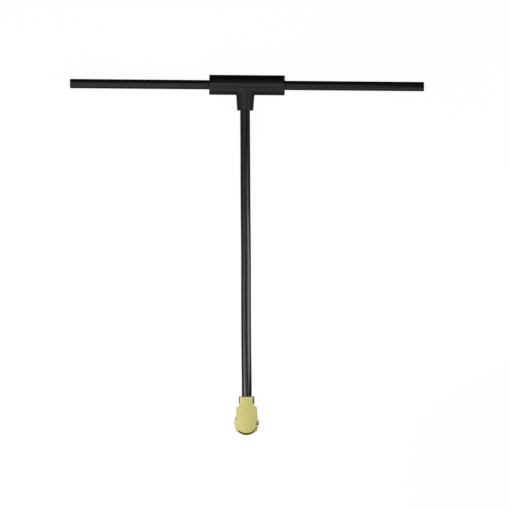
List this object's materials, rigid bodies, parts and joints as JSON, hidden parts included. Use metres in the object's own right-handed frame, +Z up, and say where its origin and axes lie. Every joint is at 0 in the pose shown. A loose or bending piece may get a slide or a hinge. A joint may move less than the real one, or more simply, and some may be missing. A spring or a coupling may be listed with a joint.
{
  "type": "tee dipole antenna with micro coax lead",
  "caption": "Slim dipole antenna shaped like a letter T: a moulded tee with two straight sleeved arms and a short thin coax cable that ends in a flat stamped push-on plug.",
  "frame": {"origin": "Middle of the tee's barrel, on the common axis of both arms.", "axes": "+X along the right arm, +Y away from the cable, +Z up from the surface that the antenna lies on, out of the plug's back."},
  "size_m": [0.0414, 0.0422, 0.0024],
  "materials": {
    "tee_plastic": "satin black moulding",
    "sleeve_plastic": "satin black sleeve",
    "jacket_plastic": "glossy black jacket",
    "dielectric_plastic": "translucent white",
    "insulator_plastic": "moulded black",
    "copper": "bare copper wire",
    "tinned_wire": "tinned braid",
    "silvered_wire": "silvered strand",
    "solder": "bright solder",
    "gold_plate": "pale gold plating, satin"
  },
  "bodies": {
    "root": {"tee_housing": "tee_plastic", "left_arm_sleeve": "sleeve_plastic", "right_arm_sleeve": "sleeve_plastic", "left_radiator": "copper", "right_radiator": "copper", "braid_solder_joint": "solder", "core_solder_joint": "solder", "cable_jacket": "jacket_plastic", "cable_braid": "tinned_wire", "cable_dielectric": "dielectric_plastic", "cable_core": "silvered_wire", "plug_ground_shell": "gold_plate", "plug_insulator": "insulator_plastic", "plug_centre_contact": "gold_plate"}
  },
  "joints": []
}
